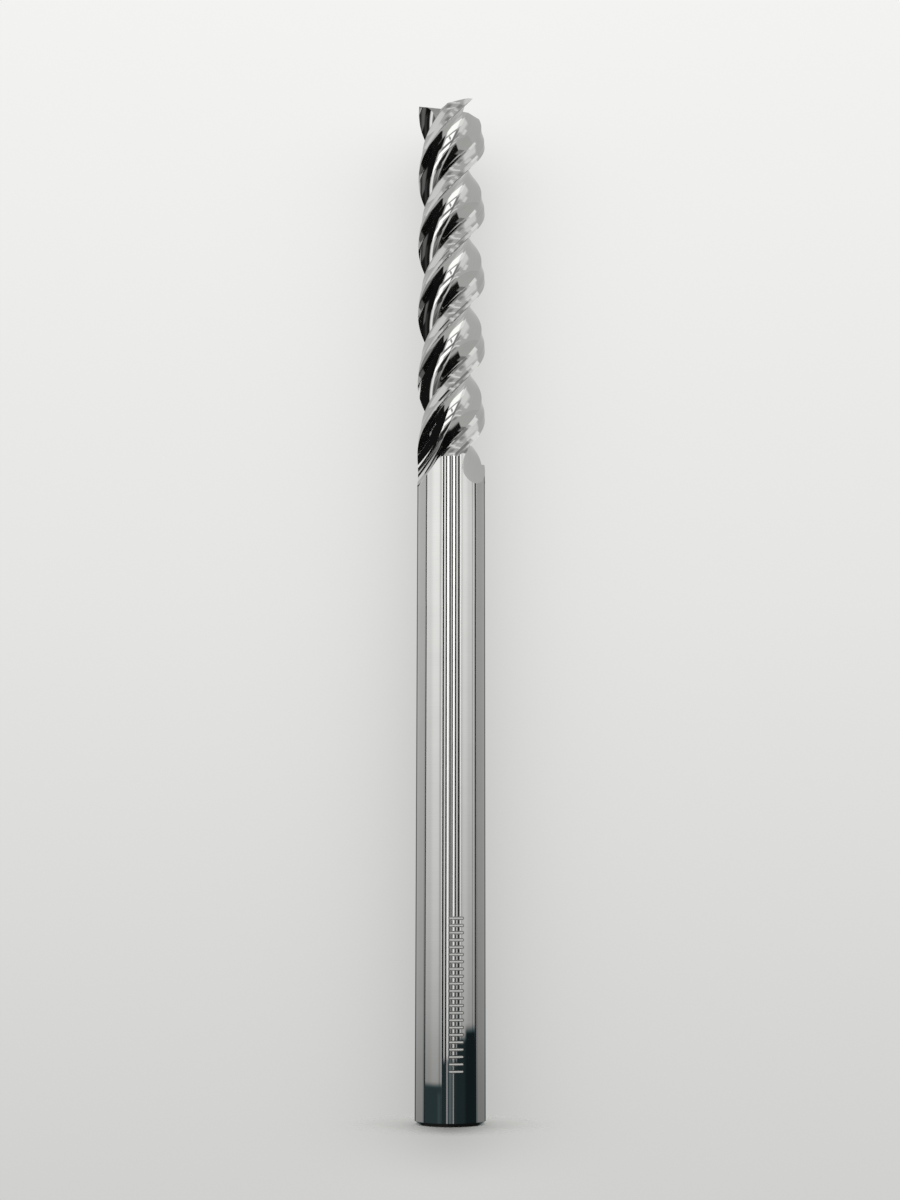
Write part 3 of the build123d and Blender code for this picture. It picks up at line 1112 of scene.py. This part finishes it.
def etched(place, grow):
    """Share of etching at a place on the shank. The ticks are grown on all sides by grow."""
    axes = split_axes(place)
    count = (TICK_LAST - TICK_FIRST) / TICK_PITCH
    steps = maths("DIVIDE", maths("SUBTRACT", axes["X"], TICK_FIRST), TICK_PITCH)
    nearest = maths("MINIMUM", maths("MAXIMUM", maths("ROUND", steps), 0.0), count)
    up = maths("MULTIPLY", maths("SUBTRACT", steps, nearest), TICK_PITCH)
    middle = (TICK_LEFT + TICK_RIGHT) / 2
    straight = (TICK_RIGHT - TICK_LEFT) / 2 - TICK_HALF
    aside = maths("ABSOLUTE", maths("SUBTRACT", axes["Y"], middle))
    out = maths("MAXIMUM", maths("SUBTRACT", aside, straight), 0.0)
    squared = maths("MULTIPLY_ADD", up, up, maths("POWER", out, 2.0))
    reach = TICK_HALF + grow
    return map_range(maths("SQRT", squared), reach + TICK_BLUR, reach - TICK_BLUR)


print("ticks:", round((TICK_LAST - TICK_FIRST) / TICK_PITCH) + 1)

# %% [markdown]
# ## Ground and polished carbide
# Sintered carbide is a grey metal-like body that takes a mirror polish. The wheel leaves fine marks:
# around the shank, along the flutes, and along the lands. Each finish below is one metal with its own
# marks, drawn from the grinding map, so that the marks run the way the wheel went. A uniform blur
# would hide the direction of the marks, and a picture of them would not fit the twisted faces.

# %% Carbide finishes
CARBIDE_LEVEL = 0.62
CARBIDE_BLUE = 0.99
# The dark rim is painted shade around each tick's etched edge; then the etched face itself
RIM_SHADE_COLOUR = (0.20, 0.20, 0.195, 1.0)
ETCHED_COLOUR = (0.46, 0.46, 0.45, 1.0)
ETCHED_ROUGHNESS = 0.6
ETCHED_DEPTH = 0.004
# The part of a noise's range that the finishes use
NOISE_LOW, NOISE_HIGH = 0.3, 0.7
# Slow changes of tone over the whole tool
CLOUD_SCALE = 260.0
CLOUD_TONE = (0.98, 1.01)
# Bands of rougher and smoother polish, as shares of the marks' fineness across and along
BAND_ACROSS, BAND_ALONG = 0.22, 0.5
ROUGHNESS_SPREAD = 0.25
# Depth of the streaks, roughness, and the width, length and height of a mark in millimetres
FINISH_LOOKS = {
    "Shank finish": (0.035, 0.06, 0.05, 6.0, 0.00004),
    "Flute finish": (0.06, 0.05, 0.08, 9.0, 0.00006),
    "Land finish": (0.16, 0.08, 0.09, 7.0, 0.00012),
    "End tooth finish": (0.08, 0.10, 0.07, 3.0, 0.00008),
    "Gash finish": (0.08, 0.10, 0.07, 3.0, 0.00008),
}


def wheel_marks(place, across, along, detail, roughness):
    """Noise on the grinding map: so many marks to a millimetre across and along the wheel's travel."""
    scale = {0: place, 1: (across, along, 1.0)}
    stretched = add_node(place.id_data, "ShaderNodeVectorMath", scale, operation="MULTIPLY")[0]
    return noise(stretched, 1.0, detail, roughness)


def raised(height, millimetres, **links):
    """A surface normal for a height map."""
    links = {"Height": height, "Strength": 1.0, "Distance": millimetres * MM, **links}
    return add_node(height.id_data, "ShaderNodeBump", links)[0]


def carbide(title, streaks, roughness, mark_width, mark_length, mark_height):
    """A polished carbide finish with the wheel's marks. The shank's also has the ticks."""
    tree = empty_tree(finish_materials[title])
    place = add_node(tree, "ShaderNodeUVMap", uv_map="grinding_map")[0]
    body = add_node(tree, "ShaderNodeTexCoord")["Object"]
    marks = wheel_marks(place, 1.0 / mark_width, 1.0 / mark_length, 3.0, 0.6)
    bands = wheel_marks(place, BAND_ACROSS / mark_width, BAND_ALONG / mark_length, 2.0, 0.5)
    tone = map_range(marks, NOISE_LOW, NOISE_HIGH, 1 - streaks, 1 + streaks / 2)
    drift = map_range(noise(body, CLOUD_SCALE, 2.0), NOISE_LOW, NOISE_HIGH, *CLOUD_TONE)
    level = maths("MULTIPLY", maths("MULTIPLY", tone, drift), CARBIDE_LEVEL)
    blue = maths("MULTIPLY", level, CARBIDE_BLUE)
    colour = add_node(tree, "ShaderNodeCombineColor", {0: level, 1: level, 2: blue})[0]
    spread = roughness * ROUGHNESS_SPREAD
    rough = map_range(bands, NOISE_LOW, NOISE_HIGH, roughness - spread, roughness + spread)
    relief = raised(marks, mark_height)
    metal = 1.0
    if title == "Shank finish":
        # Painted shade: a darker rim around each tick, as at an etched edge. It is also rougher and sunk
        # with the tick
        rim = etched(place, TICK_RIM)
        face = etched(place, 0.0)
        colour = mix_colours(rim, colour, RIM_SHADE_COLOUR)
        colour = mix_colours(face, colour, ETCHED_COLOUR)
        rough = mix(rim, rough, ETCHED_ROUGHNESS)
        metal = maths("SUBTRACT", 1.0, face)
        relief = raised(maths("MULTIPLY", rim, -1.0), ETCHED_DEPTH, Normal=relief)
    look = {"Base Color": colour, "Metallic": metal, "Roughness": rough, "Normal": relief}
    surface = add_node(tree, "ShaderNodeBsdfPrincipled", look)
    add_node(tree, "ShaderNodeOutputMaterial", {"Surface": surface[0]})


for title, look in FINISH_LOOKS.items():
    carbide(title, *look)
print("finishes:", [material.name for material in finish_materials.values()])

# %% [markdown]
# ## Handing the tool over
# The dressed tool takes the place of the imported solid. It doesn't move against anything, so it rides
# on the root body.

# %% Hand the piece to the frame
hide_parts("end_mill")
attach(tool, "root")
print("replaced: end_mill")
